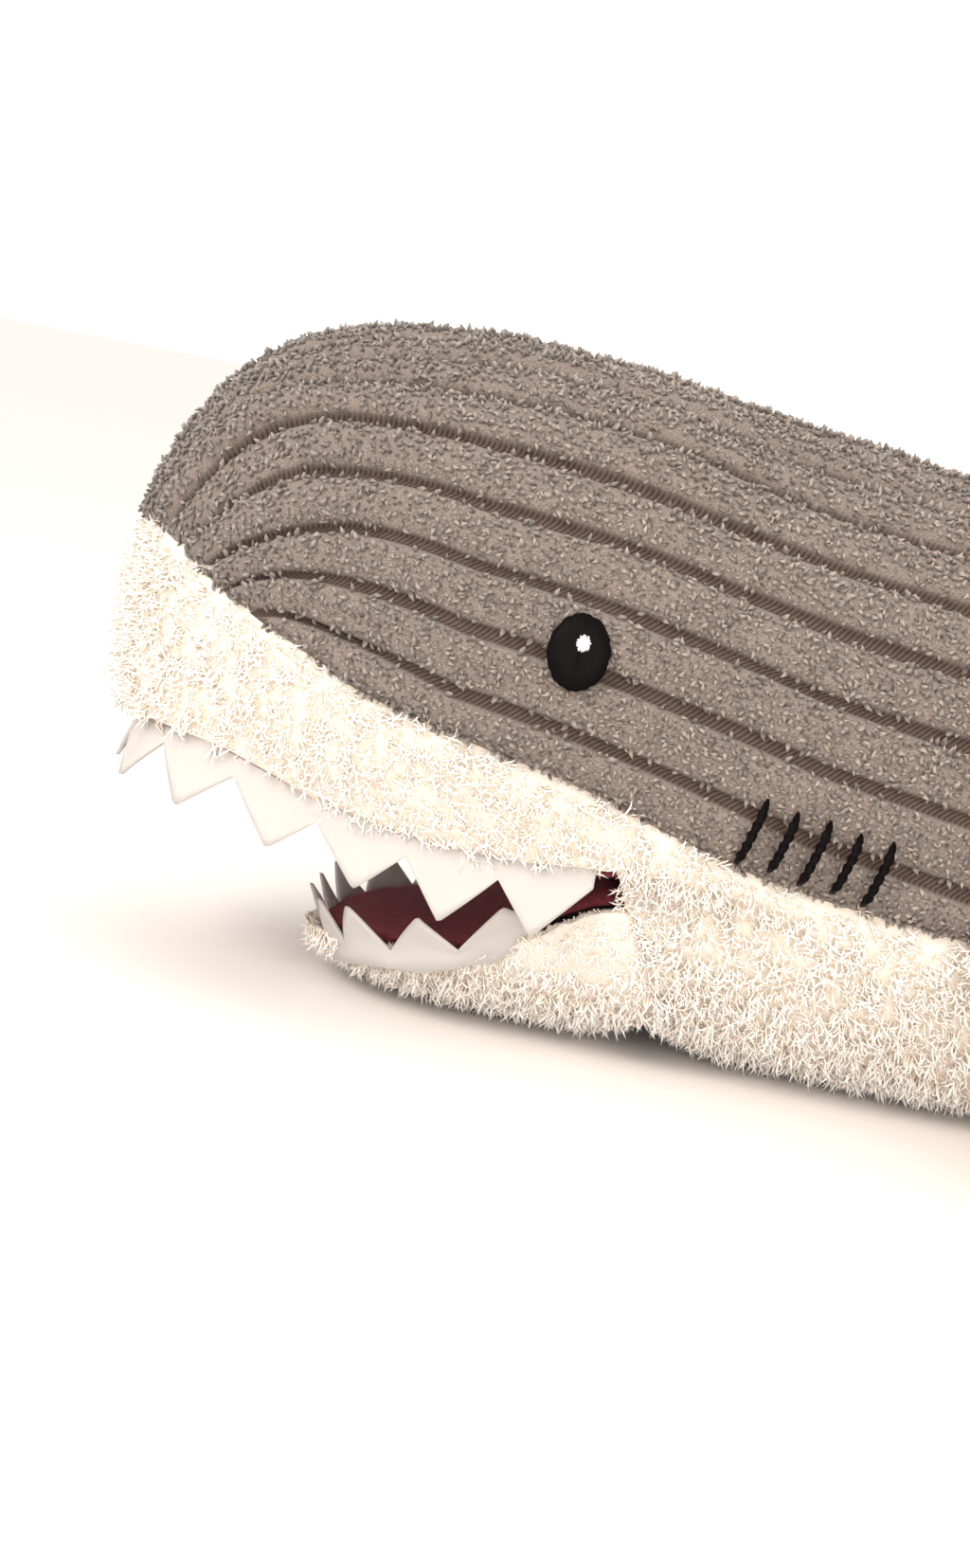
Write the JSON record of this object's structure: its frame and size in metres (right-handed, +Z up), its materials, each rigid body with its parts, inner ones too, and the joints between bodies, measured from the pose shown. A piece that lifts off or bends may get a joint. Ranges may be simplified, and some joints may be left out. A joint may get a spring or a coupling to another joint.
{
  "type": "plush shark",
  "caption": "Stuffed toy shark with an open hinged mouth, felt teeth, embroidered eyes and gills, and soft jointed fins and tail.",
  "frame": {"origin": "on the flat of the belly, under the middle of the body", "axes": "+X from the nose to the tail, +Y to the shark's right side, +Z up"},
  "size_m": [0.3976, 0.1888, 0.1323],
  "materials": {
    "grey_cord": "jumbo-cord plush, grey-brown pile ribs on a brown woven ground",
    "cream_sherpa": "curly sherpa pile",
    "maroon_velour": "short velour pile",
    "white_felt": "pressed felt, cut edges",
    "black_thread": "satin-stitched rayon thread",
    "white_thread": "polyester thread",
    "fibre_fill": "loose polyester fibre filling",
    "label_satin": "blank woven satin ribbon"
  },
  "bodies": {
    "torso": {"back_panel_left": "grey_cord", "back_panel_right": "grey_cord", "upper_lip_panel": "cream_sherpa", "belly_panel": "cream_sherpa", "palate_lining": "maroon_velour", "torso_filling": "fibre_fill", "upper_teeth": "white_felt", "eye_left": "black_thread", "eye_right": "black_thread", "eye_glint_left": "white_thread", "eye_glint_right": "white_thread", "gill_stitches_left": "black_thread", "gill_stitches_right": "black_thread", "closing_stitches": "white_thread", "sewn_label": "label_satin"},
    "jaw": {"jaw_cover": "cream_sherpa", "jaw_lining": "maroon_velour", "jaw_filling": "fibre_fill", "lower_teeth": "white_felt"},
    "tail_stock": {"tail_stock_panel_left": "grey_cord", "tail_stock_panel_right": "grey_cord", "tail_stock_belly": "cream_sherpa", "tail_stock_filling": "fibre_fill"},
    "tail_fin": {"tail_fin_panel_left": "grey_cord", "tail_fin_panel_right": "grey_cord", "tail_fin_filling": "fibre_fill"},
    "dorsal_fin": {"dorsal_fin_panel_left": "grey_cord", "dorsal_fin_panel_right": "grey_cord", "dorsal_fin_filling": "fibre_fill"},
    "pectoral_fin_left": {"pectoral_fin_left_top": "grey_cord", "pectoral_fin_left_underside": "cream_sherpa", "pectoral_fin_left_filling": "fibre_fill"},
    "pectoral_fin_right": {"pectoral_fin_right_top": "grey_cord", "pectoral_fin_right_underside": "cream_sherpa", "pectoral_fin_right_filling": "fibre_fill"}
  },
  "joints": [
    {"name": "jaw_open", "type": "hinge", "parent": "torso", "child": "jaw", "pos_m": [-0.108, 0, 0.027], "axis": [0, -1, 0], "range_deg": [-8, 12], "stiffness_Nm_per_rad": 0.2},
    {"name": "tail_swing", "type": "hinge", "parent": "torso", "child": "tail_stock", "pos_m": [0.085, 0, 0.044], "axis": [0, 0, 1], "range_deg": [-20, 20], "stiffness_Nm_per_rad": 0.2},
    {"name": "tail_fin_bend", "type": "hinge", "parent": "tail_stock", "child": "tail_fin", "pos_m": [0.13, 0, 0.044], "axis": [0, 0, 1], "range_deg": [-25, 25], "stiffness_Nm_per_rad": 0.05},
    {"name": "dorsal_fin_lean", "type": "hinge", "parent": "torso", "child": "dorsal_fin", "pos_m": [-0.025, 0, 0.09466], "axis": [0.9761, 0, -0.2173], "range_deg": [-25, 25], "stiffness_Nm_per_rad": 0.05},
    {"name": "pectoral_left_flap", "type": "hinge", "parent": "torso", "child": "pectoral_fin_left", "pos_m": [-0.064, -0.04946, 0.03], "axis": [-0.9976, -0.0686, 0], "range_deg": [-12, 35], "stiffness_Nm_per_rad": 0.05},
    {"name": "pectoral_right_flap", "type": "hinge", "parent": "torso", "child": "pectoral_fin_right", "pos_m": [-0.064, 0.04946, 0.03], "axis": [0.9976, -0.0686, 0], "range_deg": [-12, 35], "stiffness_Nm_per_rad": 0.05}
  ]
}
